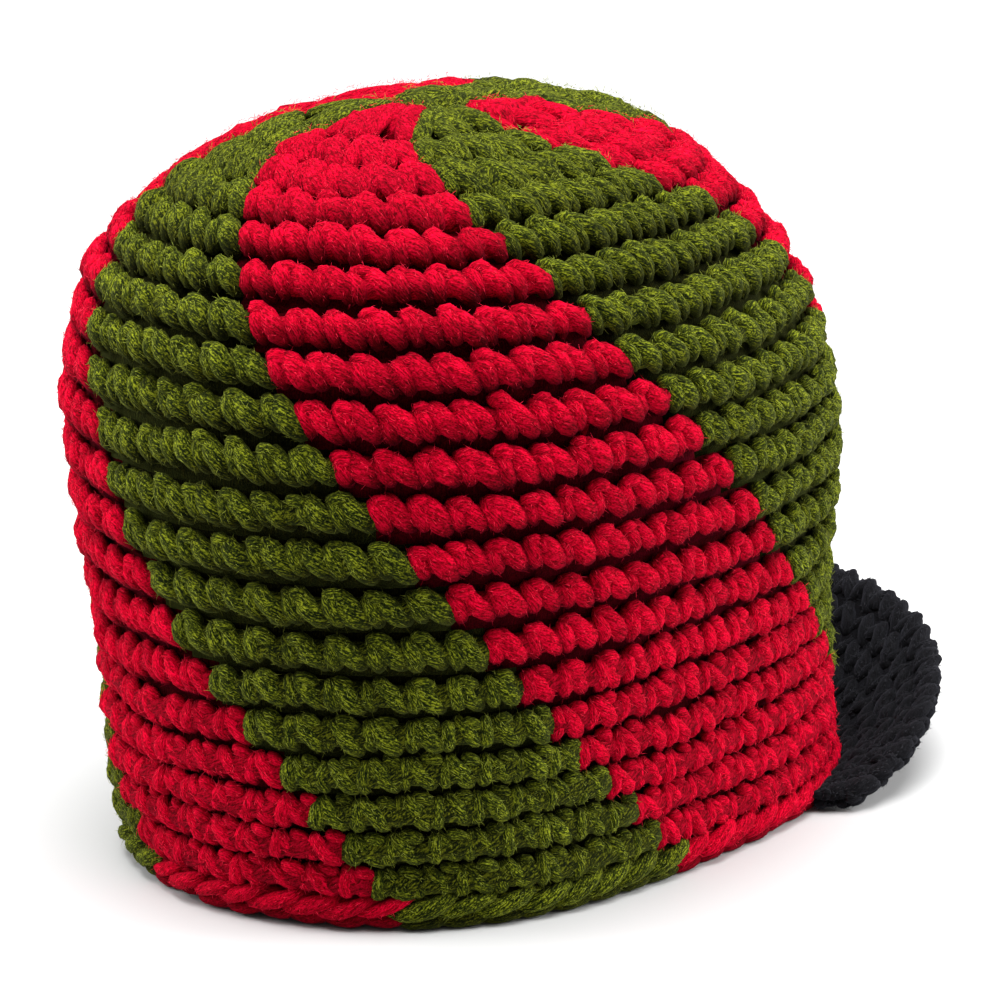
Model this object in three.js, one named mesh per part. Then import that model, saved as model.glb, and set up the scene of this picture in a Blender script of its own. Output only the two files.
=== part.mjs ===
// Crocheted tam: a deep soft crown worked in rounds from the centre of its top down to the rim,
// with leaning stair-stepped stripes, and a short turned-up peak in front.
// Millimetres, +Z up, peak towards -Y, wearer's left towards +X, the rim resting on z = 0.

import * as THREE from 'three';

// Sizes of the crown
const crownHeight = 185;
const rimLength = 210;
const rimWidth = 144;
const wallThickness = 6;
const ribDepth = 2.2;

// Rounds of crochet: the edge round at the rim, close rounds above it, taller ones further up,
// and the stitches of the fullest round, in which the stripes' places are given
const edgeRoundHeight = 6.7;
const lowRoundHeight = 9.2;
const highRoundHeight = 11.3;
const lowRounds = 3;
const changingRounds = 6;
const centreRadius = 14;
const mostStitches = 60;

// Gaps between pieces, and half the height of the floor of a valley between two rounds
const sideGap = 0.4;
const treadGap = 0.4;
const peakGap = 0.4;
const valleyHalf = 0.4;

// Sizes of the peak
const peakDepth = 33;
const peakEndDepth = 4;
const peakThickness = 5.5;
const peakHalfAngle = 57;
const peakRise = 30;
const peakFloorGap = 0.4;
const peakForward = 0.4;
const peakRounds = 5;
const peakRibDepth = 0.7;

// Facets
const stripeFacets = 5;
const centreFacets = 12;
const peakFacets = 22;
const profileSteps = 400;

// The crown's sections, evenly spaced up its wall from the rim to the centre of the top.
// height is a share of crownHeight, length of rimLength, width of rimWidth,
// and back, how far the section sits behind the rim, of half of rimLength.
const sections = [
  { height: 0.000, length: 1.000, width: 1.000, back: 0.000 },
  { height: 0.132, length: 1.012, width: 1.020, back: 0.043 },
  { height: 0.265, length: 1.004, width: 1.045, back: 0.072 },
  { height: 0.397, length: 1.007, width: 1.090, back: 0.094 },
  { height: 0.530, length: 1.014, width: 1.157, back: 0.120 },
  { height: 0.661, length: 0.967, width: 1.185, back: 0.160 },
  { height: 0.788, length: 0.887, width: 1.088, back: 0.198 },
  { height: 0.893, length: 0.730, width: 0.835, back: 0.205 },
  { height: 0.961, length: 0.512, width: 0.545, back: 0.190 },
  { height: 0.993, length: 0.262, width: 0.271, back: 0.175 },
  { height: 1.000, length: 0.000, width: 0.000, back: 0.170 },
];

// The stripes. Each row gives where the left edge of a stripe lies at six evenly spaced rounds from
// the rim to the top, in stitches of the fullest round, counted from the middle of the back,
// counter-clockwise seen from above. Every edge moves back on its way up.
const stripes = [
  { name: 'red_1', yarn: 'red', rim: -2.3, low: -4.9, middle: -8.3, upper: -12.3, high: -17.5, top: -25.0 },
  { name: 'green_1', yarn: 'green', rim: 5.3, low: 2.6, middle: -0.8, upper: -3.3, high: -5.6, top: -8.0 },
  { name: 'red_2', yarn: 'red', rim: 13.7, low: 10.4, middle: 7.0, upper: 3.6, high: 0.8, top: -2.2 },
  { name: 'green_2', yarn: 'green', rim: 26.6, low: 22.0, middle: 17.4, upper: 13.0, high: 9.4, top: 4.7 },
  { name: 'red_3', yarn: 'red', rim: 34.5, low: 30.6, middle: 26.7, upper: 22.8, high: 19.3, top: 11.5 },
  { name: 'green_3', yarn: 'green', rim: 45.0, low: 41.3, middle: 37.3, upper: 33.0, high: 27.5, top: 19.5 },
];

const yarns = {
  red: new THREE.MeshStandardMaterial({ color: 0xc4102e, roughness: 0.95, metalness: 0 }),
  green: new THREE.MeshStandardMaterial({ color: 0x5c7318, roughness: 0.95, metalness: 0 }),
  black: new THREE.MeshStandardMaterial({ color: 0x17171a, roughness: 0.95, metalness: 0 }),
};

// The crown's smooth outer form, up from 0 at the rim to 1 at the centre of the top

const sectionCurve = new THREE.CubicInterpolant(
  sections.map((row, index) => index / (sections.length - 1)),
  sections.flatMap((row) => [row.height, row.length, row.width, row.back]),
  4,
);

function sectionAt(up) {
  const [height, length, width, back] = sectionCurve.evaluate(up);
  return {
    height: height * crownHeight,
    halfLength: length * rimLength / 2,
    halfWidth: width * rimWidth / 2,
    back: back * rimLength / 2,
  };
}

function meanProfile(up) {
  const section = sectionAt(up);
  return new THREE.Vector2((section.halfLength + section.halfWidth) / 2, section.height);
}

// Distance up the wall from the rim, at even steps of up
const wallDistance = [0];
for (let step = 1; step <= profileSteps; step += 1) {
  const below = meanProfile((step - 1) / profileSteps);
  const above = meanProfile(step / profileSteps);
  wallDistance.push(wallDistance[step - 1] + above.distanceTo(below));
}
const wallLength = wallDistance[profileSteps];

function upAtDistance(distance) {
  const wanted = THREE.MathUtils.clamp(distance, 0, wallLength);
  let step = 1;
  while (step < profileSteps && wallDistance[step] < wanted) step += 1;
  const part = (wanted - wallDistance[step - 1]) / (wallDistance[step] - wallDistance[step - 1]);
  return (step - 1 + part) / profileSteps;
}

// How far a step inward moves a point towards the axis (x) and down (y)
function inwardAt(up) {
  const below = meanProfile(Math.max(up - 1 / profileSteps, 0));
  const above = meanProfile(Math.min(up + 1 / profileSteps, 1));
  const along = above.sub(below).normalize();
  return new THREE.Vector2(along.y, -along.x);
}

// A head's outline: an oval, fuller than an ellipse between its long and its short axis,
// which runs counter-clockwise from the middle of the back
class Oval extends THREE.Curve {
  constructor(halfLength, halfWidth, back) {
    super();
    this.radius = (halfLength + halfWidth) / 2;
    this.stretch = (halfLength - halfWidth) / 2;
    this.back = back;
  }

  getPoint(part) {
    const angle = part * Math.PI * 2;
    const reach = this.radius + this.stretch * Math.cos(2 * angle);
    return new THREE.Vector3(-reach * Math.sin(angle), this.back + reach * Math.cos(angle), 0);
  }
}

// A ring of the wall at one distance up it, some depth below the outer form.
// Its point() takes a share of the way round, from the middle of the back.
function wallRing(distance, depth) {
  const up = upAtDistance(distance);
  const section = sectionAt(up);
  const inward = inwardAt(up);
  const oval = new Oval(
    section.halfLength - depth * inward.x,
    section.halfWidth - depth * inward.x,
    section.back,
  );
  const height = distance <= 0 ? 0 : section.height - depth * inward.y;
  return {
    length: oval.getLength(),
    point: (share) => oval.getPointAt(share - Math.floor(share)).setZ(height),
  };
}

// The rounds, from the edge round up, each from its lower distance to its upper one

function roundHeight(index) {
  if (index === 0) return edgeRoundHeight;
  const change = THREE.MathUtils.smoothstep(index, lowRounds, lowRounds + changingRounds);
  return THREE.MathUtils.lerp(lowRoundHeight, highRoundHeight, change);
}

const rounds = [];
let roundStart = 0;
while (roundStart + roundHeight(rounds.length) < wallLength - centreRadius) {
  const roundEnd = roundStart + roundHeight(rounds.length);
  rounds.push({ from: roundStart, to: roundEnd });
  roundStart = roundEnd;
}
rounds[rounds.length - 1].to = wallLength - centreRadius;

// Where a stripe's left edge lies in each round, as a share of the way round
function stripeEdges(stripe) {
  const places = [stripe.rim, stripe.low, stripe.middle, stripe.upper, stripe.high, stripe.top];
  const edge = new THREE.CubicInterpolant(places.map((place, index) => index), places, 1);
  const spans = (places.length - 1) / (rounds.length - 1);
  return rounds.map((round, index) => edge.evaluate(index * spans)[0] / mostStitches);
}

// A closed mesh collected face by face
class Solid {
  constructor() {
    this.points = [];
    this.faces = [];
  }

  row(points) {
    return points.map((point) => this.points.push(point) - 1);
  }

  fan(corners) {
    for (let corner = 1; corner < corners.length - 1; corner += 1) {
      this.faces.push(corners[0], corners[corner], corners[corner + 1]);
    }
  }

  // The strip between a lower and an upper row, facing the side from which the rows run rightwards
  strip(lower, upper) {
    for (let column = 0; column < lower.length - 1; column += 1) {
      this.fan([lower[column], lower[column + 1], upper[column + 1], upper[column]]);
    }
  }

  mesh(name, material) {
    const geometry = new THREE.BufferGeometry().setFromPoints(this.points);
    geometry.setIndex(this.faces);
    geometry.computeVertexNormals();
    const mesh = new THREE.Mesh(geometry, material);
    mesh.name = name;
    return mesh;
  }
}

// One stripe of the crown: a wall with a rib for each round, whose ends step back at every round

function stripePiece(stripe, next) {
  const solid = new Solid();
  const turn = next === stripes[0] ? 1 : 0;
  const leftEdges = stripeEdges(stripe);
  const rightEdges = stripeEdges(next).map((edge) => edge + turn);
  const ribLevels = [
    { share: 0, depth: ribDepth },
    { share: 0.26, depth: 0 },
    { share: 0.74, depth: 0 },
    { share: 1, depth: ribDepth },
  ];
  const wallLevels = [{ share: 0, depth: wallThickness }, { share: 1, depth: wallThickness }];

  function levelRow(round, level) {
    const { from, to } = rounds[round];
    const bottom = round === 0 ? 0 : from + valleyHalf;
    const distance = THREE.MathUtils.lerp(bottom, to - valleyHalf, level.share);
    const points = [];
    for (let column = 0; column <= stripeFacets; column += 1) {
      const across = column / stripeFacets;
      const raised = distance > 0 ? distance + treadGap * (0.5 - across) : 0;
      const ring = wallRing(raised, level.depth);
      const halfGap = sideGap / ring.length / 2;
      const left = leftEdges[round] + halfGap;
      const right = rightEdges[round] - halfGap;
      const share = THREE.MathUtils.lerp(left, right, across);
      points.push(ring.point(share));
    }
    return solid.row(points);
  }

  let outerBelow = null;
  let innerBelow = null;
  const last = stripeFacets;
  rounds.forEach((round, index) => {
    const outer = ribLevels.map((level) => levelRow(index, level));
    const inner = wallLevels.map((level) => levelRow(index, level));
    if (index === 0) {
      solid.strip(inner[0], outer[0]);
    } else {
      solid.strip(outerBelow, outer[0]);
      solid.strip(inner[0], innerBelow);
      solid.fan([innerBelow[0], outerBelow[0], outer[0][0], inner[0][0]]);
      solid.fan([innerBelow[last], inner[0][last], outer[0][last], outerBelow[last]]);
    }
    solid.strip(outer[0], outer[1]);
    solid.strip(outer[1], outer[2]);
    solid.strip(outer[2], outer[3]);
    solid.strip(inner[1], inner[0]);
    solid.fan([inner[0][0], ...outer.map((row) => row[0]), inner[1][0]]);
    solid.fan([inner[0][last], inner[1][last], ...outer.map((row) => row[last]).reverse()]);
    outerBelow = outer[3];
    innerBelow = inner[1];
  });
  solid.strip(outerBelow, innerBelow);
  return solid.mesh(`crown_${stripe.name}`, yarns[stripe.yarn]);
}

// The first round, at the centre of the top, which closes the crown inside the stripes

function centrePiece() {
  const solid = new Solid();
  const edge = wallLength - centreRadius + sideGap;

  function ringRow(distance, depth) {
    const ring = wallRing(distance, depth);
    const points = [];
    for (let column = 0; column < centreFacets; column += 1) {
      points.push(ring.point(column / centreFacets));
    }
    const row = solid.row(points);
    return [...row, row[0]];
  }

  const valley = ringRow(edge, ribDepth);
  const rib = ringRow(edge + centreRadius * 0.3, 0);
  const inside = ringRow(edge, wallThickness);
  const { height, back } = sectionAt(1);
  const [top] = solid.row([new THREE.Vector3(0, back, height - ribDepth / 2)]);
  const [under] = solid.row([new THREE.Vector3(0, back, height - wallThickness)]);
  solid.strip(inside, valley);
  solid.strip(valley, rib);
  for (let column = 0; column < centreFacets; column += 1) {
    solid.fan([rib[column], rib[column + 1], top]);
    solid.fan([inside[column + 1], inside[column], under]);
  }
  return solid.mesh('crown_centre', yarns.green);
}

// The peak: a crescent worked on to the front of the edge round, turned up towards its middle

function peakPiece() {
  const solid = new Solid();
  const halfAngle = THREE.MathUtils.degToRad(peakHalfAngle);
  const rim = new Oval(rimLength / 2 + peakGap, rimWidth / 2 + peakGap, 0);
  const ribSteps = peakRounds * 2;

  function peakPoint(across, out) {
    const part = 0.5 + across * halfAngle / (Math.PI * 2);
    const foot = rim.getPoint(part);
    const along = rim.getTangent(part);
    const away = new THREE.Vector3(along.y, -along.x, 0).multiplyScalar(1 - peakForward);
    away.y -= peakForward;
    away.normalize();
    const fullness = 1 - across * across;
    const depth = THREE.MathUtils.lerp(peakEndDepth, peakDepth, Math.sqrt(fullness));
    foot.addScaledVector(away, depth * out);
    return foot.setZ(peakFloorGap + peakThickness / 2 + peakRise * fullness * out);
  }

  function peakRow(step, side) {
    const out = step / ribSteps;
    const rib = step % 2 === 0 ? peakRibDepth : 0;
    const half = side * (peakThickness / 2 - rib);
    const points = [];
    for (let column = 0; column <= peakFacets; column += 1) {
      const point = peakPoint(2 * column / peakFacets - 1, out);
      point.z += half;
      points.push(point);
    }
    return solid.row(points);
  }

  let upper = peakRow(0, 1);
  let lower = peakRow(0, -1);
  solid.strip(upper, lower);
  for (let step = 1; step <= ribSteps; step += 1) {
    const upperNext = peakRow(step, 1);
    const lowerNext = peakRow(step, -1);
    solid.strip(upperNext, upper);
    solid.strip(lower, lowerNext);
    solid.fan([lowerNext[0], upperNext[0], upper[0], lower[0]]);
    solid.fan([lower[peakFacets], upper[peakFacets], upperNext[peakFacets], lowerNext[peakFacets]]);
    upper = upperNext;
    lower = lowerNext;
  }
  solid.strip(lower, upper);
  return solid.mesh('peak', yarns.black);
}

// The whole hat, its origin under the middle of its bounding box

const hat = new THREE.Group();
stripes.forEach((stripe, index) => {
  hat.add(stripePiece(stripe, stripes[(index + 1) % stripes.length]));
});
hat.add(centrePiece());
hat.add(peakPiece());

const box = new THREE.Box3().setFromObject(hat);
const middle = box.getCenter(new THREE.Vector3());
hat.position.set(-middle.x, -middle.y, -box.min.z);

const group = new THREE.Group();
group.add(hat);

export default group;
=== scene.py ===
# The looks of a crocheted tam: every stitch of its crown, rim and peak as yarn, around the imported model.
# Lengths of the hat are in millimetres, as in the part's source, and become metres where a mesh is made.
# Lengths of the stage, camera and lights are in metres.

import math

import bpy
import numpy as np
from mathutils import Matrix, Vector


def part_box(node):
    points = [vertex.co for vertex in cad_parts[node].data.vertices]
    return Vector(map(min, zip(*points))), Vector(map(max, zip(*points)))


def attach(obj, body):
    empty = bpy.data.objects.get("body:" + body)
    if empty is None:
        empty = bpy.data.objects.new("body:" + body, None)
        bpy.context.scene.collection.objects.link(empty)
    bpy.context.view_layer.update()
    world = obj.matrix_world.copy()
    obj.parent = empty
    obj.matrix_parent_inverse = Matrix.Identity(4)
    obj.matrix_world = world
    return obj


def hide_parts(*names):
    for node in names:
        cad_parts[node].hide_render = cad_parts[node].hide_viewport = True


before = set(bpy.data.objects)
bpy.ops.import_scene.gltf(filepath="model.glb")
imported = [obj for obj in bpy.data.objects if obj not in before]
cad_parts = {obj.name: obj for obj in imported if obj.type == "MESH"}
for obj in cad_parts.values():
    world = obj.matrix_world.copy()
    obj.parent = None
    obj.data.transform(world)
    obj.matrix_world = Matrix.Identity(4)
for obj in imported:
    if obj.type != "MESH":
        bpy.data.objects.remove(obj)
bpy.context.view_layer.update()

SEED = 23
MM = 0.001
random = np.random.default_rng(SEED)

# Sizes of the hat, as in the part's source
CROWN_HEIGHT = 185
RIM_LENGTH = 210
RIM_WIDTH = 144
EDGE_ROUND = 6.7
LOW_ROUND = 9.2
HIGH_ROUND = 11.3
LOW_ROUNDS = 3
CHANGING_ROUNDS = 6
CENTRE_RADIUS = 14
STITCH_WIDTH = 9.4
MOST_STITCHES = 60
PEAK_GAP = 0.4
PEAK_DEPTH = 33
PEAK_END_DEPTH = 4
PEAK_THICKNESS = 5.5
PEAK_HALF_ANGLE = math.radians(57)
PEAK_RISE = 30
PEAK_FLOOR_GAP = 0.4
PEAK_FORWARD = 0.4
PEAK_ROUNDS = 5

# The crown's sections from the rim to the centre of the top:
# height (of CROWN_HEIGHT), length (of RIM_LENGTH), width (of RIM_WIDTH), back (of half RIM_LENGTH)
SECTIONS = np.array([
    (0.000, 1.000, 1.000, 0.000),
    (0.132, 1.012, 1.020, 0.043),
    (0.265, 1.004, 1.045, 0.072),
    (0.397, 1.007, 1.090, 0.094),
    (0.530, 1.014, 1.157, 0.120),
    (0.661, 0.967, 1.185, 0.160),
    (0.788, 0.887, 1.088, 0.198),
    (0.893, 0.730, 0.835, 0.205),
    (0.961, 0.512, 0.545, 0.190),
    (0.993, 0.262, 0.271, 0.175),
    (1.000, 0.000, 0.000, 0.170),
])

# Each stripe: CAD node, yarn, and where its left edge lies at six evenly spaced rounds from the rim to
# the top, in stitches of the fullest round, counted from the middle of the back
STRIPES = [
    ("crown_red_1", "red_yarn", (-2.3, -4.9, -8.3, -12.3, -17.5, -25.0)),
    ("crown_green_1", "green_yarn", (5.3, 2.6, -0.8, -3.3, -5.6, -8.0)),
    ("crown_red_2", "red_yarn", (13.7, 10.4, 7.0, 3.6, 0.8, -2.2)),
    ("crown_green_2", "green_yarn", (26.6, 22.0, 17.4, 13.0, 9.4, 4.7)),
    ("crown_red_3", "red_yarn", (34.5, 30.6, 26.7, 22.8, 19.3, 11.5)),
    ("crown_green_3", "green_yarn", (45.0, 41.3, 37.3, 33.0, 27.5, 19.5)),
]


# The crown's smooth outer form

PROFILE_STEPS = 400
OVAL_STEPS = 720
STRETCHES = np.linspace(-0.05, 0.25, 13)
TINY = 0.001
LEAST_CROWN_RADIUS = 0.01
TOP_GAP = 0.4
WALL_STEP = 0.3
SHARE_STEP = 0.002


def curve_through(values, places):
    """A smooth curve through evenly spaced rows of values, at places counted in rows."""
    rows = np.concatenate([2 * values[:1] - values[1:2], values, 2 * values[-1:] - values[-2:-1]])
    index = np.minimum(places.astype(int), len(values) - 2)
    part = (places - index).reshape(places.shape + (1,) * (values.ndim - 1))
    before, here, after, beyond = (rows[index + step] for step in range(4))
    return here + part / 2 * (
        (after - before)
        + part * (2 * before - 5 * here + 4 * after - beyond)
        + part ** 2 * (3 * here - before - 3 * after + beyond)
    )


def sections_at(up):
    """Half length, half width, back and height of the crown at up, 0 at the rim and 1 at the top."""
    value = curve_through(SECTIONS, np.clip(np.asarray(up, float), 0, 1) * (len(SECTIONS) - 1))
    sizes = (CROWN_HEIGHT, RIM_LENGTH / 2, RIM_WIDTH / 2, RIM_LENGTH / 2)
    height, half_length, half_width, back = (value[..., column] * sizes[column] for column in range(4))
    return half_length, half_width, back, height


# Distance up the wall for each share of the sections
PROFILE_UP = np.linspace(0, 1, PROFILE_STEPS + 1)
profile_length, profile_width, _, profile_height = sections_at(PROFILE_UP)
profile_radius = (profile_length + profile_width) / 2
WALL_DISTANCE = np.concatenate([
    [0], np.cumsum(np.hypot(np.diff(profile_radius), np.diff(profile_height)))
])
WALL_LENGTH = WALL_DISTANCE[-1]

OVAL_ANGLES = np.linspace(0, 2 * math.pi, OVAL_STEPS + 1)
OVAL_SHARES = np.linspace(0, 1, OVAL_STEPS + 1)


def angles_round(stretch):
    """Angles at even shares of the way round an oval of radius 1 that is longer and narrower by stretch."""
    reach = 1 + stretch * np.cos(2 * OVAL_ANGLES)
    x, y = reach * np.sin(OVAL_ANGLES), reach * np.cos(OVAL_ANGLES)
    length = np.concatenate([[0], np.cumsum(np.hypot(np.diff(x), np.diff(y)))])
    return np.interp(OVAL_SHARES, length / length[-1], OVAL_ANGLES)


ANGLE_TABLE = np.array([angles_round(stretch) for stretch in STRETCHES])


def oval_angle(share, stretch):
    """The angle at a share of the way round an oval, between the rows and columns of the table."""
    column = (share - np.floor(share)) * OVAL_STEPS
    row = (stretch - STRETCHES[0]) / np.diff(STRETCHES)[0]
    row = np.clip(row, 0, len(STRETCHES) - 1 - TINY)
    left, low = np.minimum(column.astype(int), OVAL_STEPS - 1), row.astype(int)
    across, up = column - left, row - low
    lower = ANGLE_TABLE[low, left] * (1 - across) + ANGLE_TABLE[low, left + 1] * across
    upper = ANGLE_TABLE[low + 1, left] * (1 - across) + ANGLE_TABLE[low + 1, left + 1] * across
    return lower * (1 - up) + upper * up


def wall_points(distance, share):
    """Points of the crown's outer form, at a distance up the wall and a share of the way round."""
    up = np.interp(distance, WALL_DISTANCE, PROFILE_UP)
    half_length, half_width, back, height = sections_at(up)
    radius = np.maximum((half_length + half_width) / 2, LEAST_CROWN_RADIUS)
    stretch = (half_length - half_width) / 2
    angle = oval_angle(share, stretch / radius)
    reach = radius + stretch * np.cos(2 * angle)
    return np.stack([-reach * np.sin(angle), back + reach * np.cos(angle), height], -1)


def unit(vectors):
    return vectors / np.maximum(np.linalg.norm(vectors, axis=-1, keepdims=True), 1e-9)


def wall_frames(distance, share):
    """Points of the outer form with the outward normals there. Below the rim it goes straight down."""
    distance = np.minimum(distance, WALL_LENGTH - TOP_GAP)
    on_wall = np.maximum(distance, 0)
    above, below = on_wall + WALL_STEP, np.maximum(on_wall - WALL_STEP, 0)
    along = wall_points(above, share) - wall_points(below, share)
    across = wall_points(on_wall, share + SHARE_STEP) - wall_points(on_wall, share - SHARE_STEP)
    points = wall_points(on_wall, share)
    points[..., 2] += np.minimum(distance, 0)
    return points, unit(np.cross(across, along))


# The rounds of the crown, as in the part's source

def round_height(index):
    if index == 0:
        return EDGE_ROUND
    change = min(max((index - LOW_ROUNDS) / CHANGING_ROUNDS, 0), 1)
    return LOW_ROUND + (HIGH_ROUND - LOW_ROUND) * change * change * (3 - 2 * change)


def length_round(distance):
    """The length of the way round the crown at a distance up its wall."""
    half_length, half_width, _, _ = sections_at(np.interp(distance, WALL_DISTANCE, PROFILE_UP))
    return math.pi * (half_length + half_width)


def make_rounds():
    """The distances up the wall between which each round lies, up to the centre round."""
    rounds = []
    start = 0
    while start + round_height(len(rounds)) < WALL_LENGTH - CENTRE_RADIUS:
        end = start + round_height(len(rounds))
        rounds.append([start, end])
        start = end
    rounds[-1][1] = WALL_LENGTH - CENTRE_RADIUS
    return rounds


ROUNDS = make_rounds()


def stripe_edges(stripe):
    """Where a stripe's left edge lies in each round, as a share of the way round."""
    turn, column = divmod(stripe, len(STRIPES))
    places = np.array(STRIPES[column][2])
    rows = np.linspace(0, len(places) - 1, len(ROUNDS))
    return curve_through(places, rows) / MOST_STITCHES + turn


# Yarn: many short strands at once, as joined tubes with tapered ends

YARN_TWIST = 0.18
PLIES = 2
PLY_DEPTH = 0.05
LUMPS = 0.08
LARGEST_SIZE = 1 + PLY_DEPTH + LUMPS
LEAST_RADIUS = 0.5
TIP_LENGTH = 0.6
STRAND_TONES = (0, 0.8)
# Loose fibres get this tone, which gives them a lighter colour: a painted highlight
HAIR_HIGHLIGHT_TONE = 1
HAIR_SIDES = 3
HAIR_RADIUS = 0.085
HAIR_LENGTHS = (0.7, 2.0)
HAIR_ANGLES = (math.radians(5), math.radians(175))
HAIR_STRAY = 0.5
HAIR_LIFT = 0.35
HAIR_FOOT = 0.9
# Loose fibres take this share of their strand's painted shade
HAIR_SHADE = 0.75
WEB_TONE = 0.5

# The material's noise runs round each strand at this radius and along it, and each starts elsewhere
FIBRE_RADIUS = 2
FIBRE_SPREAD = 400

# Corners of a hair's faces: its foot has corners 0 to 2, and corner 3 is its tip
HAIR_FACES = np.array([(0, 1, 3), (1, 2, 3), (2, 0, 3), (2, 1, 0)])


def smooth_path(controls, count):
    """Points on smooth curves through the controls, an array of (strands, controls, values)."""
    places = np.linspace(0, controls.shape[1] - 1, count)
    return curve_through(controls.swapaxes(0, 1), places).swapaxes(0, 1)


def square_to(tangent, vector):
    """The direction of a vector without its share along the tangent."""
    return unit(vector - (vector * tangent).sum(-1, keepdims=True) * tangent)


def tube_faces(strands, steps, sides):
    """Faces of closed tubes. The points of each are its rings, and then its two tips."""
    each = steps * sides + 2
    base = (np.arange(strands) * each)[:, None, None]
    row = np.arange(steps - 1)[None, :, None] * sides
    column = np.arange(sides)[None, None]
    after = (column + 1) % sides
    quads = np.stack([
        base + row + column,
        base + row + after,
        base + row + sides + after,
        base + row + sides + column,
    ], -1)
    head = base[:, 0]
    tail = head + (steps - 1) * sides
    first_tip = np.broadcast_to(head + each - 2, (strands, sides))
    last_tip = np.broadcast_to(head + each - 1, (strands, sides))
    near = np.stack([first_tip, head + after[0], head + column[0]], -1)
    far = np.stack([last_tip, tail + column[0], tail + after[0]], -1)
    return quads, np.concatenate([near, far], 1)


class Yarn:
    """Collects tubes, loose fibres and slabs of one piece, and makes its mesh."""

    def __init__(self):
        self.points, self.quads, self.triangles = [], [], []
        self.fibre, self.depth, self.tone = [], [], []
        self.count = 0

    def add(self, points, quads, triangles, fibre, depth, tone):
        self.points.append(points.reshape(-1, 3))
        self.quads.append(quads.reshape(-1, 4) + self.count)
        self.triangles.append(triangles.reshape(-1, 3) + self.count)
        self.fibre.append(fibre.reshape(-1, 3))
        self.depth.append(depth.reshape(-1))
        self.tone.append(tone.reshape(-1))
        self.count += self.points[-1].shape[0]

    def strands(self, path, normal, radius, depth, flat, sides):
        """Tubes. path and normal are (strands, steps, 3), radius and depth, the painted shade, are
        (strands, steps).
        """
        strands, steps = radius.shape
        tangent = unit(np.gradient(path, axis=1))
        out = square_to(tangent, normal)
        side = np.cross(tangent, out)
        lengths = np.linalg.norm(np.diff(path, axis=1), axis=-1)
        run = np.concatenate([np.zeros((strands, 1)), np.cumsum(lengths, 1)], 1)
        start = random.uniform(0, 2 * math.pi, (strands, 1, 1))
        angle = np.arange(sides) * 2 * math.pi / sides
        turned = angle - YARN_TWIST * run[..., None] + start
        lumps = random.uniform(-LUMPS, LUMPS, turned.shape)
        size = radius[..., None] * (1 + PLY_DEPTH * np.cos(PLIES * turned) + lumps)
        ring = (
            path[:, :, None]
            + (size * np.cos(angle))[..., None] * side[:, :, None]
            + (size * np.sin(angle) * flat)[..., None] * out[:, :, None]
        )
        first = path[:, 0] - tangent[:, 0] * radius[:, :1] * TIP_LENGTH
        last = path[:, -1] + tangent[:, -1] * radius[:, -1:] * TIP_LENGTH
        points = np.concatenate([ring.reshape(strands, -1, 3), first[:, None], last[:, None]], 1)
        offset = random.uniform(-FIBRE_SPREAD, FIBRE_SPREAD, (strands, 1, 3))
        around = np.stack([
            FIBRE_RADIUS * np.cos(turned),
            FIBRE_RADIUS * np.sin(turned),
            np.broadcast_to(run[..., None], turned.shape),
        ], -1)
        tips = np.zeros((strands, 2, 3))
        tips[:, 1, 2] = run[:, -1]
        fibre = np.concatenate([around.reshape(strands, -1, 3), tips], 1) + offset
        # The painted shade of each ring and tip
        vertex_shade = np.concatenate([np.repeat(depth, sides, 1), depth[:, :1], depth[:, -1:]], 1)
        tone = np.broadcast_to(random.uniform(*STRAND_TONES, (strands, 1)), vertex_shade.shape)
        quads, triangles = tube_faces(strands, steps, sides)
        self.add(points, quads, triangles, fibre, vertex_shade, tone)

    def hairs(self, path, normal, radius, depth, each):
        """Loose fibres: thin spikes that lie along the strands and rise off them, each to a strand."""
        strands, steps = radius.shape
        strand = np.repeat(np.arange(strands), each)
        count = len(strand)
        step = random.integers(0, steps - 1, count)
        part = random.uniform(0, 1, (count, 1))

        def between(values):
            return values[strand, step] * (1 - part) + values[strand, step + 1] * part

        tangent = unit(between(unit(np.gradient(path, axis=1))))
        out = square_to(tangent, between(normal))
        angle = random.uniform(*HAIR_ANGLES, (count, 1))
        lift = np.cross(tangent, out) * np.cos(angle) + out * np.sin(angle)
        foot = between(path) + lift * between(radius[..., None]) * HAIR_FOOT
        along = tangent * random.choice([-1, 1], (count, 1)) + random.normal(0, HAIR_STRAY, (count, 3))
        reach = unit(along + lift * HAIR_LIFT)
        across = unit(np.cross(reach, lift))
        turn = (np.arange(HAIR_SIDES) * 2 * math.pi / HAIR_SIDES)[:, None]
        ring = across[:, None] * np.cos(turn) + np.cross(reach, across)[:, None] * np.sin(turn)
        tip = foot + reach * random.uniform(*HAIR_LENGTHS, (count, 1))
        points = np.concatenate([foot[:, None] + ring * HAIR_RADIUS, tip[:, None]], 1)
        points[..., 2] -= np.minimum(points[..., 2].min(1, keepdims=True), 0)
        corners = HAIR_SIDES + 1
        triangles = np.arange(count)[:, None, None] * corners + HAIR_FACES
        fibre = np.repeat(random.uniform(-FIBRE_SPREAD, FIBRE_SPREAD, (count, 1, 3)), corners, 1)
        vertex_shade = np.repeat(between(depth[..., None]) * HAIR_SHADE, corners, 1)
        self.add(points, np.zeros((0, 4), int), triangles, fibre, vertex_shade, np.full(vertex_shade.shape, HAIR_HIGHLIGHT_TONE))

    def slab(self, outer, inner, outer_depth, inner_depth):
        """A closed curved plate between two grids of points, each (rows, columns, 3)."""
        rows, columns = outer.shape[:2]
        index = np.arange(rows * columns).reshape(rows, columns)
        under = index + rows * columns

        def faces(a, b, c, d):
            return np.stack([a.ravel(), b.ravel(), c.ravel(), d.ravel()], -1)

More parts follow.
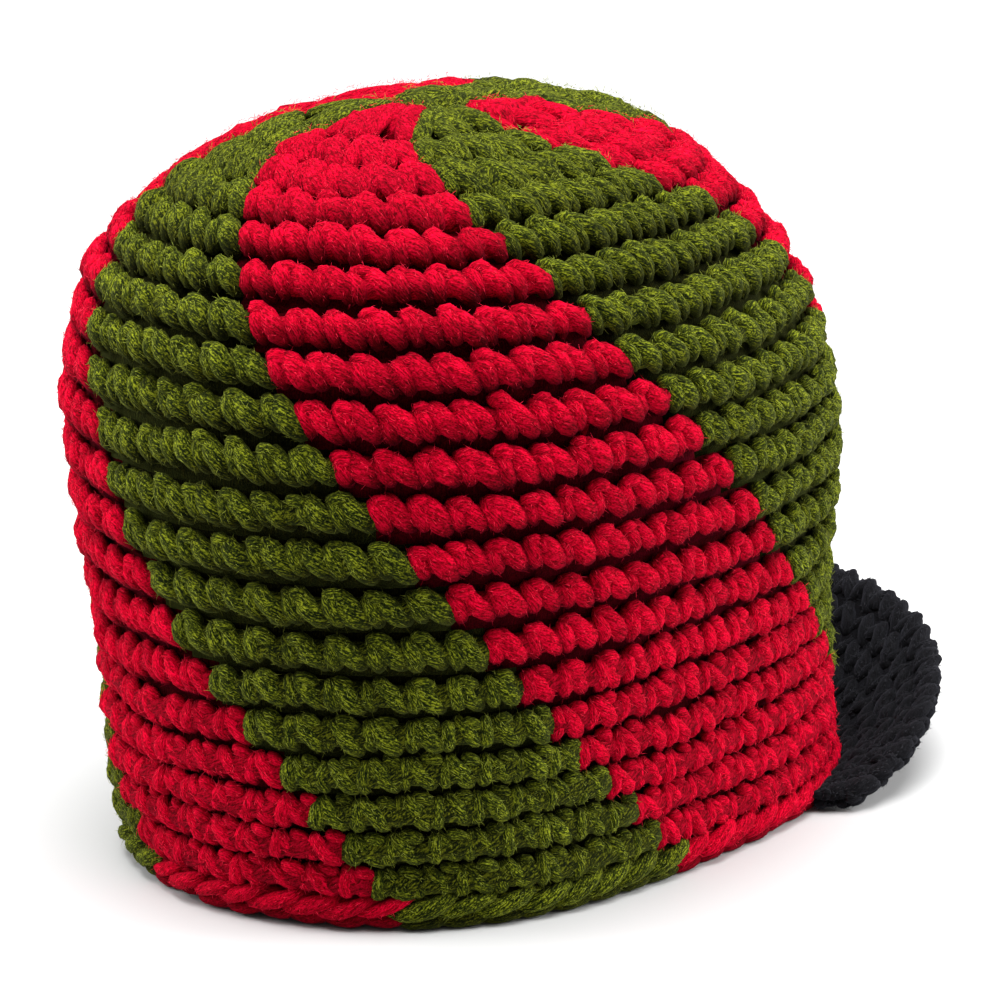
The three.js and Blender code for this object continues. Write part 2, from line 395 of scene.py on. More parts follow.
        quads = np.concatenate([
            faces(index[:-1, :-1], index[:-1, 1:], index[1:, 1:], index[1:, :-1]),
            faces(under[1:, :-1], under[1:, 1:], under[:-1, 1:], under[:-1, :-1]),
            faces(under[0, :-1], under[0, 1:], index[0, 1:], index[0, :-1]),
            faces(index[-1, :-1], index[-1, 1:], under[-1, 1:], under[-1, :-1]),
            faces(under[1:, 0], under[:-1, 0], index[:-1, 0], index[1:, 0]),
            faces(index[1:, -1], index[:-1, -1], under[:-1, -1], under[1:, -1]),
        ])
        points = np.concatenate([outer.reshape(-1, 3), inner.reshape(-1, 3)])
        # The plate's painted shade, on its outer and inner face
        depth = np.repeat([outer_depth, inner_depth], rows * columns)
        self.add(points, quads, np.zeros((0, 3), int), points, depth, np.full(len(points), WEB_TONE))

    def piece(self, name, place):
        """The Blender object of all that was added, with the values that the material reads."""
        points = (np.concatenate(self.points) + place) * MM
        quads, triangles = np.concatenate(self.quads), np.concatenate(self.triangles)
        mesh = bpy.data.meshes.new(name)
        mesh.vertices.add(len(points))
        mesh.vertices.foreach_set("co", points.astype(np.float32).ravel())
        loops = np.concatenate([quads.ravel(), triangles.ravel()]).astype(np.int32)
        starts = np.concatenate([np.arange(len(quads)) * 4, len(quads) * 4 + np.arange(len(triangles)) * 3])
        mesh.loops.add(len(loops))
        mesh.loops.foreach_set("vertex_index", loops)
        mesh.polygons.add(len(starts))
        mesh.polygons.foreach_set("loop_start", starts.astype(np.int32))
        mesh.update(calc_edges=True)
        mesh.polygons.foreach_set("use_smooth", np.ones(len(starts), bool))
        fibre = mesh.attributes.new("fibre", "FLOAT_VECTOR", "POINT")
        fibre.data.foreach_set("vector", np.concatenate(self.fibre).astype(np.float32).ravel())
        # depth is the painted shade of each point; tone is its random tone, and 1 on loose fibres for their
        # painted highlight
        for label, values in (("depth", self.depth), ("tone", self.tone)):
            attribute = mesh.attributes.new(label, "FLOAT", "POINT")
            attribute.data.foreach_set("value", np.concatenate(values).astype(np.float32))
        piece = bpy.data.objects.new(name, mesh)
        bpy.context.scene.collection.objects.link(piece)
        return piece


# Stitches of the crown. Each strand is a row of controls:
# across (stitch widths from the stitch's left edge), up (share of the round), out (mm), radius (mm).
# Near the rim the two legs of a stitch stand apart, further up they lean and close,
# and on the top they are pulled flat.

FAT_LEG = {
    "rim": np.array([
        (0.34, 0.96, -3.2, 1.4),
        (0.42, 0.82, -2.2, 1.85),
        (0.58, 0.59, -1.7, 2.1),
        (0.76, 0.36, -2.1, 1.95),
        (0.90, 0.19, -3.6, 1.4),
    ]),
    "side": np.array([
        (0.24, 0.96, -3.2, 1.7),
        (0.37, 0.86, -2.3, 2.35),
        (0.58, 0.66, -1.7, 2.7),
        (0.80, 0.46, -2.1, 2.45),
        (0.96, 0.29, -3.8, 1.6),
    ]),
    "top": np.array([
        (0.20, 1.06, -2.4, 2.4),
        (0.36, 0.90, -1.8, 3.0),
        (0.58, 0.60, -1.5, 3.3),
        (0.82, 0.30, -1.7, 3.3),
        (0.98, 0.08, -2.3, 2.9),
    ]),
}
THIN_LEG = {
    "rim": np.array([
        (0.26, 0.96, -3.0, 1.3),
        (0.21, 0.80, -2.1, 1.75),
        (0.16, 0.58, -1.6, 1.95),
        (0.14, 0.36, -2.0, 1.85),
        (0.20, 0.20, -3.6, 1.3),
    ]),
    "side": np.array([
        (-0.04, 0.94, -3.2, 1.5),
        (0.03, 0.84, -2.2, 2.0),
        (0.12, 0.65, -1.6, 2.2),
        (0.21, 0.46, -2.1, 2.0),
        (0.28, 0.30, -3.8, 1.4),
    ]),
    "top": np.array([
        (-0.06, 1.02, -2.4, 2.2),
        (0.04, 0.86, -1.9, 2.7),
        (0.13, 0.58, -1.6, 2.9),
        (0.22, 0.30, -1.8, 3.0),
        (0.30, 0.08, -2.3, 2.7),
    ]),
}
TOP_LOOP = {
    "rim": np.array([
        (0.66, 0.96, -2.8, 1.3),
        (0.80, 0.96, -2.4, 1.7),
        (0.96, 0.88, -2.4, 1.7),
        (1.06, 0.72, -3.2, 1.2),
    ]),
    "side": np.array([
        (-0.08, 0.90, -2.8, 1.4),
        (0.05, 0.96, -2.0, 1.8),
        (0.22, 0.94, -1.9, 1.85),
        (0.38, 0.84, -2.7, 1.3),
    ]),
    "top": np.array([
        (-0.08, 0.92, -2.4, 1.9),
        (0.06, 1.00, -1.9, 2.4),
        (0.22, 0.98, -1.8, 2.5),
        (0.38, 0.86, -2.4, 1.9),
    ]),
}
CORE = {
    "rim": np.array([(0.0, 0.58, -3.0, 3.1), (1.0, 0.58, -3.0, 3.1)]),
    "side": np.array([(0.0, 0.63, -3.3, 2.9), (1.0, 0.63, -3.3, 2.9)]),
    "top": np.array([(0.0, 0.54, -4.6, 5.5), (1.0, 0.54, -4.6, 5.5)]),
}
INSIDE_BAR = np.array([
    (-0.15, 0.40, -5.9, 0.9),
    (0.15, 0.56, -6.4, 1.3),
    (0.85, 0.50, -6.4, 1.3),
    (1.15, 0.66, -5.9, 0.9),
])
INSIDE_LEG = np.array([
    (0.30, 0.02, -6.3, 0.8),
    (0.45, 0.25, -6.6, 1.0),
    (0.60, 0.48, -6.3, 0.8),
])
EDGE_LINK = np.array([
    (-0.35, 0.50, -3.0, 1.4),
    (0.02, 0.60, -1.6, 2.0),
    (0.50, 0.82, -1.1, 2.3),
    (0.98, 1.06, -1.5, 2.0),
    (1.30, 1.18, -3.2, 1.3),
])
EDGE_UNDER = np.array([
    (-0.20, 0.26, -3.4, 1.3),
    (0.15, 0.26, -2.3, 1.75),
    (0.65, 0.30, -2.3, 1.75),
    (1.05, 0.44, -3.4, 1.3),
])
EDGE_CORE = np.array([(0.0, 0.92, -3.4, 2.0), (1.0, 0.92, -3.4, 2.0)])

# Strands of a stitch: forms, steps along, sides, loose fibres
ROUND_STRANDS = [
    (FAT_LEG, 8, 10, 22),
    (THIN_LEG, 8, 9, 16),
    (TOP_LOOP, 5, 8, 8),
]
CENTRE_STRANDS = [
    (FAT_LEG, 8, 10, 20),
    (THIN_LEG, 8, 10, 14),
]
EDGE_STEPS = 8
EDGE_SIDES = 10
EDGE_HAIRS = 20
# Painted shade of the strands on the rim's underside
EDGE_UNDER_SHADE = 0.5
INSIDE_BAR_STEPS = 5
INSIDE_LEG_STEPS = 4
INSIDE_SIDES = 6
# Painted shade of the strands inside the wall
INSIDE_PAINTED_SHADE = 0.35
CORE_SIDES = 8
CORE_FLATNESS = 0.9
YARN_FLATNESS = 0.85
TOP_FLATNESS = 0.6

# Rounds in which the stitches change from their form at the rim to that on the side, and then on the top
SIDE_FORM_ROUNDS = (3, 9)
TOP_FORM_ROUNDS = (15, 19)

# Spread of the controls' four values from stitch to stitch, and of each control in a stitch
SCATTER = np.array([0.05, 0.028, 0.24, 0.16])
WOBBLE = 0.45
MOST_LEFT_OVER = 0.4
MOST_SQUEEZE = 1.2
SETTLED_DISTANCE = 12

# Slow waves of the hand-made rounds: size, waves round the crown, distance up for a radian, start
WANDER_ALONG = [(0.35, 5, 9, 0), (0.25, 11, -6, 1)]
WANDER_OUT = [(0.30, 7, -8, 2), (0.25, 13, 5, 0)]

WEB_OUT = -4.6
WEB_IN = -5.4
WEB_OVERLAP = 0.1
# Painted shade of the web's inner face
WEB_INSIDE_SHADE = 0.6
CENTRE_LEFT = 2
CENTRE_WEB_LEFT = 0.5
CENTRE_WEB_COLUMNS = 25

# Painted shade of the yarn in its grooves and on its undersides, where shade falls. Pairs are for the rim
# and the ridges.
GROOVE_START = 2.1
GROOVE_REACH = 1.9
GROOVE_SHADE_AMOUNTS = (0.6, 0.9)
UNDERSIDE_HEIGHTS = (0.40, 0.70)
UNDERSIDE_REACH = 0.36
UNDERSIDE_SHADE_AMOUNTS = (0.30, 0.65)

# Painted shade elsewhere. Pairs are for the side and the flat top.
PAINTED_SHADE_LEFT = (1.0, 0.15)
CORE_PAINTED_SHADES = (0.42, 0.126)
WEB_PAINTED_SHADES = (1.0, 0.4)


def blend(pair, share):
    """A value between the two of a pair, at a share of the way from the first to the second."""
    return pair[0] * (1 - share) + pair[1] * share


def smooth_share(value, start, end):
    part = min(max((value - start) / (end - start), 0), 1)
    return part * part * (3 - 2 * part)


def form_at(forms, index):
    """The form of a strand in a round, between its forms at the rim, on the side and on the top."""
    wall = blend((forms["rim"], forms["side"]), smooth_share(index, *SIDE_FORM_ROUNDS))
    return blend((wall, forms["top"]), smooth_share(index, *TOP_FORM_ROUNDS))


def painted_shade_of(out, up, ridge, flat):
    """Painted shade of the yarn, by how deep in the fabric it lies: 0 at its face and 1 in its grooves and
    on its undersides.

    ridge is 0 at the rim and 1 where the rounds stand out as ridges. flat is 1 on the smooth top.
    """
    groove = np.clip((-out - GROOVE_START) / GROOVE_REACH, 0, 1) * blend(GROOVE_SHADE_AMOUNTS, ridge)
    underside = np.clip((blend(UNDERSIDE_HEIGHTS, ridge) - up) / UNDERSIDE_REACH, 0, 1)
    underside = underside * blend(UNDERSIDE_SHADE_AMOUNTS, ridge)
    return np.clip(groove + underside, 0, 1) * blend(PAINTED_SHADE_LEFT, flat)


def wander(waves, share, distance):
    """A slow wander of the hand-made rounds, in mm."""
    return sum(
        size * np.sin(2 * math.pi * turns * share + distance / rise + start)
        for size, turns, rise, start in waves
    )


def scattered(form, count):
    """A number of copies of a form, each shifted and bent a little."""
    shift = random.normal(0, 1, (count, 1, 4))
    bend = random.normal(0, WOBBLE, (count, len(form), 4))
    return form + (shift + bend) * SCATTER


class Run:
    """A run of stitches of one round in one stripe, evenly spaced between the stripe's edges.

    ridge is 0 at the rim and 1 where the rounds stand out as ridges. flat is 1 on the smooth top.
    """

    def __init__(self, low, high, left, right, ridge=1, flat=1):
        self.low, self.high = low, high
        self.left = left
        self.ridge, self.flat = ridge, flat
        way = length_round((low + high) / 2)
        self.count = max(math.ceil((right - left) * way / STITCH_WIDTH - MOST_LEFT_OVER), 1)
        self.width = (right - left) / self.count
        self.squeeze = min(self.width * way / STITCH_WIDTH, MOST_SQUEEZE)

    def place(self, controls):
        """Controls to a path over the wall with its normals and radii."""
        stitches = self.left + np.arange(len(controls))[:, None] * self.width
        share = stitches + controls[..., 0] * self.width
        distance = self.low + (self.high - self.low) * controls[..., 1]
        radius = np.clip(controls[..., 3], LEAST_RADIUS, None) * self.squeeze
        settled = np.clip(distance / SETTLED_DISTANCE, 0, 1)
        along = wander(WANDER_ALONG, share, distance) * settled
        out = wander(WANDER_OUT, share, distance) * settled
        path, normal = wall_frames(distance + along, share)
        path = path + normal * (controls[..., 2] + out)[..., None]
        path[..., 2] = np.maximum(path[..., 2], radius * LARGEST_SIZE)
        return path, normal, radius

    def add(self, yarn, form, steps, sides, depth=None, hairs=0):
        """One strand of a form in each stitch, with some loose fibres on it."""
        controls = smooth_path(scattered(form, self.count), steps)
        path, normal, radius = self.place(controls)
        # Painted shade: the strand is darker in its grooves and on its underside, or by the given amount.
        if depth is None:
            painted_shades = painted_shade_of(controls[..., 2], controls[..., 1], self.ridge, self.flat)
        else:
            painted_shades = np.full(radius.shape, depth)
        flatness = blend((YARN_FLATNESS, TOP_FLATNESS), self.flat)
        yarn.strands(path, normal, radius, painted_shades, flatness, sides)
        if hairs:
            yarn.hairs(path, normal, radius, painted_shades, hairs)

    def inside(self, yarn, form, steps):
        """One thin strand in each stitch, on the inner side of the wall."""
        self.add(yarn, form, steps, INSIDE_SIDES, INSIDE_PAINTED_SHADE)

    def core(self, yarn, form):
        """The yarn inside the ridge of the run, which closes the gaps between its stitches."""
        controls = smooth_path(form[None], self.count * 2 + 1)
        controls[..., 0] *= self.count
        path, normal, radius = self.place(controls)
        # The core is painted darker, as shade between the stitches.
        painted_shades = np.full(radius.shape, blend(CORE_PAINTED_SHADES, self.flat))
        yarn.strands(path, normal, radius, painted_shades, CORE_FLATNESS, CORE_SIDES)

    def web(self, yarn, distances, columns):
        """The thin fabric behind the run's stitches, a sheet in their gaps that is painted dark as shade.
        """
        share, distance = np.broadcast_arrays(
            np.linspace(self.left, self.left + self.width * self.count, columns)[None],
            np.array(distances)[:, None],
        )
        points, normal = wall_frames(distance, share)
        outer, inner = points + normal * WEB_OUT, points + normal * WEB_IN
        for face in (outer, inner):
            face[..., 2] = np.maximum(face[..., 2], 0)
        yarn.slab(outer, inner, blend(WEB_PAINTED_SHADES, self.flat), WEB_INSIDE_SHADE)


def edge_stitches(run, yarn):
    """The edge round: a row of slanting links over a row of strands on the rim's underside."""
    run.add(yarn, EDGE_LINK, EDGE_STEPS, EDGE_SIDES, hairs=EDGE_HAIRS)
    # The strands on the rim's underside get painted shade.
    run.add(yarn, EDGE_UNDER, EDGE_STEPS, EDGE_SIDES, EDGE_UNDER_SHADE)
    run.core(yarn, EDGE_CORE)


def round_stitches(run, yarn, index):
    run.core(yarn, form_at(CORE, index))
    for forms, steps, sides, hairs in ROUND_STRANDS:
        run.add(yarn, form_at(forms, index), steps, sides, hairs=hairs)
    run.inside(yarn, INSIDE_LEG, INSIDE_LEG_STEPS)


def crown_piece(stripe):
    """One stripe of the crown, with its stretch of every round."""
    name, slot = STRIPES[stripe][:2]
    yarn = Yarn()
    edges, next_edges = stripe_edges(stripe), stripe_edges(stripe + 1)
    for index, (left, right) in enumerate(zip(edges, next_edges)):
        low, high = ROUNDS[index]
        ridge, flat = smooth_share(index, *SIDE_FORM_ROUNDS), smooth_share(index, *TOP_FORM_ROUNDS)
        run = Run(low, high, left, right, ridge, flat)
        if index == 0:
            edge_stitches(run, yarn)
        else:
            round_stitches(run, yarn, index)
        run.inside(yarn, INSIDE_BAR, INSIDE_BAR_STEPS)
        run.web(yarn, (max(low - WEB_OVERLAP, 0), high + WEB_OVERLAP), run.count + 1)
    finish_piece(yarn, name, slot)


def centre_piece():
    """The first round, at the centre of the top."""
    yarn = Yarn()
    low = WALL_LENGTH - CENTRE_RADIUS
    run = Run(low, WALL_LENGTH - CENTRE_LEFT, 0, 1)
    run.core(yarn, CORE["top"])
    for forms, steps, sides, hairs in CENTRE_STRANDS:
        run.add(yarn, forms["top"], steps, sides, hairs=hairs)
    run.inside(yarn, INSIDE_BAR, INSIDE_BAR_STEPS)
    run.web(yarn, (low, WALL_LENGTH - CENTRE_WEB_LEFT), CENTRE_WEB_COLUMNS)
    finish_piece(yarn, "crown_centre", "green_yarn")


# The peak: two faces of stitches on a curved crescent, and a round of stitches over its edge.
# Its controls are across (stitches), out (rounds), away from the middle surface (mm), radius (mm).

PEAK_FAT = np.array([
    (0.12, 0.00, 0.4, 1.3),
    (0.32, 0.22, 1.0, 1.9),
    (0.56, 0.52, 1.2, 2.2),
    (0.80, 0.82, 1.0, 1.9),
    (0.94, 1.02, 0.4, 1.3),
])
PEAK_THIN = np.array([
    (0.32, -0.02, 0.4, 1.2),
    (0.18, 0.26, 1.0, 1.7),
    (0.04, 0.60, 1.1, 1.85),
    (-0.06, 1.00, 0.4, 1.2),
])
PEAK_EDGE = np.array([
    (-0.10, -0.75, 1.0, 1.6),
    (0.20, -0.45, 0.9, 2.2),
    (0.50, -0.28, 0.0, 2.5),
    (0.80, -0.45, -0.9, 2.2),
    (1.10, -0.75, -1.0, 1.6),
])
PEAK_STITCH = 8.2
PEAK_EDGE_STITCH = 4.9
PEAK_END = 0.985
PEAK_FLATNESS = 0.8
PEAK_STEPS = 8
PEAK_SIDES = 10
PEAK_HAIRS = 20
PEAK_LINE_POINTS = 101
# Painted shade: the peak's strands darken towards its grooves, and its middle plate is dark
PEAK_GROOVE_SHADE = 0.9
PEAK_ANGLE_STEP = 0.01
PEAK_STEP = 0.01
PEAK_WEB_OUT = 0.94
PEAK_WEB_COLUMNS = 61
PEAK_WEB_ROWS = 9
PEAK_WEB_SHADE = 1.0


def peak_points(across, out):
    """Points of the peak's middle surface, across from -1 to 1 and out from 0 at the rim to 1."""
    radius = (RIM_LENGTH + RIM_WIDTH) / 4 + PEAK_GAP
    stretch = (RIM_LENGTH - RIM_WIDTH) / 4
    angle = math.pi + across * PEAK_HALF_ANGLE

    def rim(angle):
        reach = radius + stretch * np.cos(2 * angle)
        return np.stack([-reach * np.sin(angle), reach * np.cos(angle)], -1)

    along = unit(rim(angle + PEAK_ANGLE_STEP) - rim(angle - PEAK_ANGLE_STEP))
    away = np.stack([along[..., 1], -along[..., 0]], -1) * (1 - PEAK_FORWARD)
    away[..., 1] -= PEAK_FORWARD
    away = unit(away)
    fullness = np.clip(1 - across ** 2, 0, 1)
    depth = PEAK_END_DEPTH + (PEAK_DEPTH - PEAK_END_DEPTH) * np.sqrt(fullness)
    flat = rim(angle) + away * (depth * out)[..., None]
    height = PEAK_FLOOR_GAP + PEAK_THICKNESS / 2 + PEAK_RISE * fullness * out
    return np.concatenate([flat, height[..., None]], -1)


def peak_frames(across, out):
    """Points of the peak's middle surface with the normals there."""
    across = np.clip(across, -PEAK_END, PEAK_END)
    along = peak_points(across + PEAK_STEP, out) - peak_points(across - PEAK_STEP, out)
    outward = peak_points(across, out + PEAK_STEP) - peak_points(across, out - PEAK_STEP)
    return peak_points(across, out), unit(np.cross(outward, along))


def peak_row(yarn, row, form, face, pitch):
    """One row of strands of one form on a face of the peak, 1 above and -1 below."""
    across = np.linspace(-1, 1, PEAK_LINE_POINTS)
    line = peak_points(across, np.full(len(across), min((row + 0.5) / PEAK_ROUNDS, 1)))
    count = round(np.linalg.norm(np.diff(line, axis=0), axis=1).sum() / pitch)
    controls = smooth_path(scattered(form, count), PEAK_STEPS)
    across = face * ((np.arange(count)[:, None] + controls[..., 0]) / count * 2 - 1)
    path, normal = peak_frames(across, (row + controls[..., 1]) / PEAK_ROUNDS)
    path = path + normal * (face * controls[..., 2])[..., None]
    radius = np.clip(controls[..., 3], LEAST_RADIUS, None)
    path[..., 2] = np.maximum(path[..., 2], radius * LARGEST_SIZE)
    # Painted shade, darker in the peak's grooves
    depth = np.clip(PEAK_GROOVE_SHADE - np.abs(controls[..., 2]), 0, 1) * (row < PEAK_ROUNDS)
    yarn.strands(path, normal * face, radius, depth, PEAK_FLATNESS, PEAK_SIDES)
    yarn.hairs(path, normal * face, radius, depth, PEAK_HAIRS)


def peak_piece():
    yarn = Yarn()
    for row in range(PEAK_ROUNDS):
        for face in (1, -1):
            peak_row(yarn, row, PEAK_FAT, face, PEAK_STITCH)
            peak_row(yarn, row, PEAK_THIN, face, PEAK_STITCH)
    peak_row(yarn, PEAK_ROUNDS, PEAK_EDGE, 1, PEAK_EDGE_STITCH)
    across, out = np.broadcast_arrays(
        np.linspace(-PEAK_END, PEAK_END, PEAK_WEB_COLUMNS)[None],
        np.linspace(0, PEAK_WEB_OUT, PEAK_WEB_ROWS)[:, None],
    )
    points, normal = peak_frames(across, out)
    # The middle plate is painted dark as shade.
    yarn.slab(points - normal, points + normal, PEAK_WEB_SHADE, PEAK_WEB_SHADE)
    finish_piece(yarn, "peak", "black_yarn")


# Where the middle of the rim lies in the frame: the peak's tip is this far in front of it
peak_low, peak_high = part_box("peak")
RIM_MIDDLE = np.array([
    (peak_low.x + peak_high.x) / 2 / MM,
    peak_low.y / MM + RIM_LENGTH / 2 + PEAK_GAP + PEAK_DEPTH,
    0,
])


# Yarn materials

# Noises of the fibres: scale, detail, stretch along the yarn
STREAKS = (2.6, 3, 0.2)
SPECKS = (3.4, 2, 0.6)
PATCHES = (0.7, 2, 0.35)
NOISE_ROUGHNESS = 0.6
PATCH_AMOUNT = 0.6
ROUGHNESS = 0.9
SPECULAR = 0.04
SHEEN = 0.1
SHEEN_ROUGHNESS = 0.5
BUMP_STRENGTH = 0.9
BUMP_DISTANCE = 0.45 * MM

# Ramps: place and colour of each stop
PATCH_SHADES = [(0.3, (0.55, 0.55, 0.55)), (0.65, (1, 1, 1))]
TONE_SHADES = [(0.0, (0.72, 0.72, 0.72)), (0.8, (1, 1, 1))]
# The mask of the loose fibres' painted highlight
HAIR_HIGHLIGHT_MASK = [(0.85, (0, 0, 0)), (0.95, (1, 1, 1))]
# Painted shade: the colour darkens with the depth attribute, in grooves, on undersides and behind the
# stitches
PAINTED_SHADE_STOPS = [(0.0, (1, 1, 1)), (0.5, (0.42, 0.39, 0.39)), (1.0, (0.09, 0.065, 0.065))]

# Each yarn: its fibres' colours where the noise is low, middle and high, with those three places,
# and the colours of its loose fibres, which are lighter as a painted highlight, and of its sheen
YARNS = {
    "red_yarn": {
        "colours": [(0.18, 0.0, 0.004), (0.52, 0.0, 0.014), (0.90, 0.002, 0.038)],
        "places": (0.41, 0.50, 0.60),
        "hair_and_highlight": (0.90, 0.025, 0.06),
        "sheen": (1.0, 0.0, 0.1),
    },
    "green_yarn": {
        "colours": [(0.003, 0.006, 0.001), (0.038, 0.051, 0.003), (0.26, 0.295, 0.014)],
        "places": (0.43, 0.51, 0.61),
        "hair_and_highlight": (0.26, 0.30, 0.04),
        "sheen": (0.75, 0.9, 0.2),
    },
    "black_yarn": {
        "colours": [(0.0015, 0.0015, 0.0015), (0.005, 0.005, 0.006), (0.014, 0.014, 0.016)],
        "places": (0.40, 0.50, 0.62),
        "hair_and_highlight": (0.030, 0.030, 0.034),
        "sheen": (0.4, 0.4, 0.5),
    },
}


def yarn_material(name, colours, places, hair_and_highlight, sheen):
    material = bpy.data.materials.new(name)
    material.use_nodes = True
    nodes, links = material.node_tree.nodes, material.node_tree.links
    shader = nodes["Principled BSDF"]

    def attribute(label):
        node = nodes.new("ShaderNodeAttribute")
        node.attribute_name = label
        return node

    def noise(vector, scale, detail, along):
        mapping = nodes.new("ShaderNodeMapping")
        mapping.inputs["Scale"].default_value = (1, 1, along)
        links.new(vector, mapping.inputs["Vector"])
        node = nodes.new("ShaderNodeTexNoise")
        node.inputs["Scale"].default_value = scale
        node.inputs["Detail"].default_value = detail
        node.inputs["Roughness"].default_value = NOISE_ROUGHNESS
        links.new(mapping.outputs["Vector"], node.inputs["Vector"])
        return node.outputs["Fac"]

    def ramp(value, stops):
        node = nodes.new("ShaderNodeValToRGB")
        while len(node.color_ramp.elements) < len(stops):
            node.color_ramp.elements.new(0.5)
        for element, (place, colour) in zip(node.color_ramp.elements, stops):
            element.position = place
            element.color = (*colour, 1)
        links.new(value, node.inputs["Fac"])
        return node.outputs["Color"]

    def mix(kind, factor, first, second):
        node = nodes.new("ShaderNodeMix")
        node.data_type = "RGBA"
        node.blend_type = kind
        sockets = [node.inputs[0], node.inputs[6], node.inputs[7]]
        for socket, value in zip(sockets, (factor, first, second)):
            if isinstance(value, (int, float)):
                socket.default_value = value
            elif isinstance(value, tuple):
                socket.default_value = (*value, 1)
            else:
                links.new(value, socket)
        return node.outputs[2]

    fibre = attribute("fibre").outputs["Vector"]
    fine = mix("MIX", 0.5, noise(fibre, *STREAKS), noise(fibre, *SPECKS))
    patches = ramp(noise(fibre, *PATCHES), PATCH_SHADES)
    colour = mix("MULTIPLY", PATCH_AMOUNT, ramp(fine, list(zip(places, colours))), patches)
    tone = attribute("tone").outputs["Fac"]
    colour = mix("MULTIPLY", 1.0, colour, ramp(tone, TONE_SHADES))
    # Loose fibres take their own lighter colour: the yarn's colour with a painted highlight
    colour = mix("MIX", ramp(tone, HAIR_HIGHLIGHT_MASK), colour, hair_and_highlight)
    # Painted shade from the depth attribute
    colour = mix("MULTIPLY", 1.0, colour, ramp(attribute("depth").outputs["Fac"], PAINTED_SHADE_STOPS))
    links.new(colour, shader.inputs["Base Color"])
    shader.inputs["Roughness"].default_value = ROUGHNESS
    shader.inputs["Specular IOR Level"].default_value = SPECULAR
    shader.inputs["Sheen Weight"].default_value = SHEEN
    shader.inputs["Sheen Roughness"].default_value = SHEEN_ROUGHNESS
    shader.inputs["Sheen Tint"].default_value = (*sheen, 1)
    bump = nodes.new("ShaderNodeBump")
    bump.inputs["Strength"].default_value = BUMP_STRENGTH
    bump.inputs["Distance"].default_value = BUMP_DISTANCE
    links.new(fine, bump.inputs["Height"])
    links.new(bump.outputs["Normal"], shader.inputs["Normal"])
    return material


MATERIALS = {slot: yarn_material(slot, **look) for slot, look in YARNS.items()}


def finish_piece(yarn, node, slot):
    """Makes the mesh of a piece, in the place of its CAD node."""
    piece = yarn.piece(node + "_yarn", RIM_MIDDLE)
    piece.data.materials.append(MATERIALS[slot])
    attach(piece, "root")
    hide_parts(node)


for stripe in range(len(STRIPES)):
    crown_piece(stripe)
centre_piece()
peak_piece()


# Floor and surroundings

FLOOR_SIZE = 60.0
FLOOR_COLOUR = (0.54, 0.54, 0.54)
FLOOR_ROUGHNESS = 0.9
WORLD_STRENGTH = 0.19


def plain_material(name, colour, roughness):
    material = bpy.data.materials.new(name)
    material.use_nodes = True
    shader = material.node_tree.nodes["Principled BSDF"]
    shader.inputs["Base Color"].default_value = (*colour, 1)
    shader.inputs["Roughness"].default_value = roughness
    return material


bpy.ops.mesh.primitive_plane_add(size=FLOOR_SIZE)
floor = bpy.context.object
floor.name = "floor"
floor.data.materials.append(plain_material("pale_floor", FLOOR_COLOUR, FLOOR_ROUGHNESS))

world = bpy.data.worlds.new("studio")
bpy.context.scene.world = world
world.use_nodes = True
background = world.node_tree.nodes["Background"]
background.inputs["Color"].default_value = (1, 1, 1, 1)
background.inputs["Strength"].default_value = WORLD_STRENGTH
bpy.context.scene.view_settings.view_transform = "Standard"


# The photo's view: from behind the hat, on the wearer's right

CAMERA_TURN = math.radians(129.4)
CAMERA_DISTANCE = 1.040
CAMERA_HEIGHT = 0.3633
CAMERA_DOWN = 0.2667
CAMERA_ROLL = -0.009
CAMERA_ASIDE = 0.0015
CAMERA_LENS = 154.8
SENSOR = 36

rim_middle = Vector(RIM_MIDDLE) * MM
zenith = Vector((0, 0, 1))
back = Vector((math.cos(CAMERA_TURN), math.sin(CAMERA_TURN), 0))
aside = zenith.cross(back) * CAMERA_ASIDE
forward = (aside - back) * math.cos(CAMERA_DOWN) - zenith * math.sin(CAMERA_DOWN)
forward.normalize()
level = forward.cross(zenith).normalized()
upright = level.cross(forward)
right = level * math.cos(CAMERA_ROLL) - upright * math.sin(CAMERA_ROLL)
upward = level * math.sin(CAMERA_ROLL) + upright * math.cos(CAMERA_ROLL)

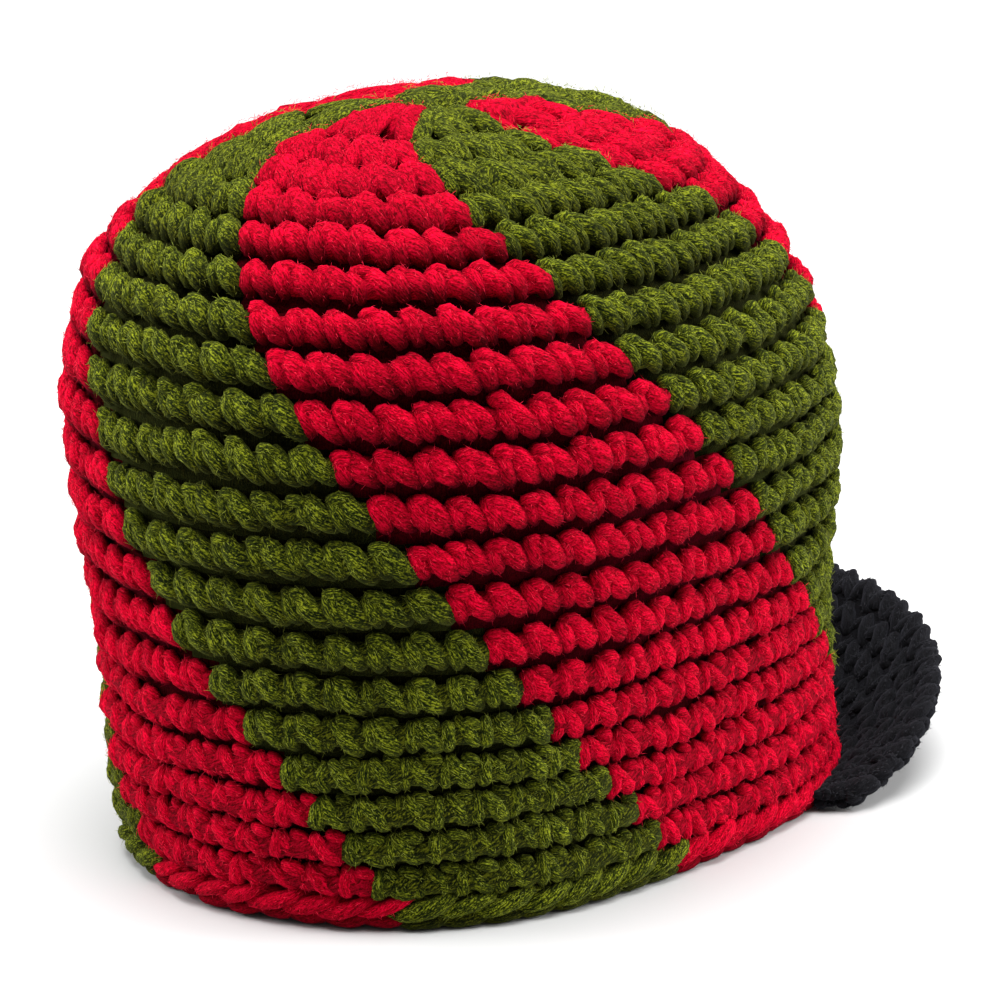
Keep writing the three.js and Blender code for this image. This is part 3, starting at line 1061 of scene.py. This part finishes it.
camera_data = bpy.data.cameras.new("camera")
camera_data.lens = CAMERA_LENS
camera_data.sensor_width = SENSOR
camera = bpy.data.objects.new("camera", camera_data)
bpy.context.scene.collection.objects.link(camera)
camera.matrix_world = Matrix((
    (right.x, upward.x, -forward.x, 0),
    (right.y, upward.y, -forward.y, 0),
    (right.z, upward.z, -forward.z, 0),
    (0, 0, 0, 1),
))
camera.location = rim_middle + back * CAMERA_DISTANCE + Vector((0, 0, CAMERA_HEIGHT))
bpy.context.scene.camera = camera


# Lights. Their turns are in degrees from the camera, counter-clockwise from above.

AIM_HEIGHT = 0.1
SOFT_BOX_SIZE = 0.5
SOFT_BOX_DISTANCE = 0.8

# Soft boxes: name, turn, height, power
SOFT_BOXES = [
    ("left", -90, 0.45, 6.4),
    ("right", 92, 0.4, 8.0),
]
SUN_TURN = -10
SUN_TILT = 5
SUN_SOFTNESS = 50
SUN_STRENGTH = 5.8


def add_light(name, kind, energy):
    data = bpy.data.lights.new(name, kind)
    data.energy = energy
    light = bpy.data.objects.new(name, data)
    bpy.context.scene.collection.objects.link(light)
    return light


def sun_light():
    """A broad light from far away, tilted from straight above towards its turn."""
    light = add_light("top", "SUN", SUN_STRENGTH)
    light.data.angle = math.radians(SUN_SOFTNESS)
    angle = CAMERA_TURN + math.radians(SUN_TURN)
    tilt = math.radians(SUN_TILT)
    towards = Vector((math.cos(angle) * math.sin(tilt), math.sin(angle) * math.sin(tilt), math.cos(tilt)))
    light.rotation_euler = towards.to_track_quat("Z", "Y").to_euler()


def soft_box(name, turn, height, power):
    """An area light that looks at the hat."""
    light = add_light(name, "AREA", power)
    light.data.size = SOFT_BOX_SIZE
    angle = CAMERA_TURN + math.radians(turn)
    reach = Vector((math.cos(angle), math.sin(angle), 0)) * SOFT_BOX_DISTANCE
    light.location = rim_middle + reach + Vector((0, 0, height))
    aim = rim_middle + Vector((0, 0, AIM_HEIGHT)) - light.location
    light.rotation_euler = aim.to_track_quat("-Z", "Y").to_euler()


sun_light()
for box in SOFT_BOXES:
    soft_box(*box)
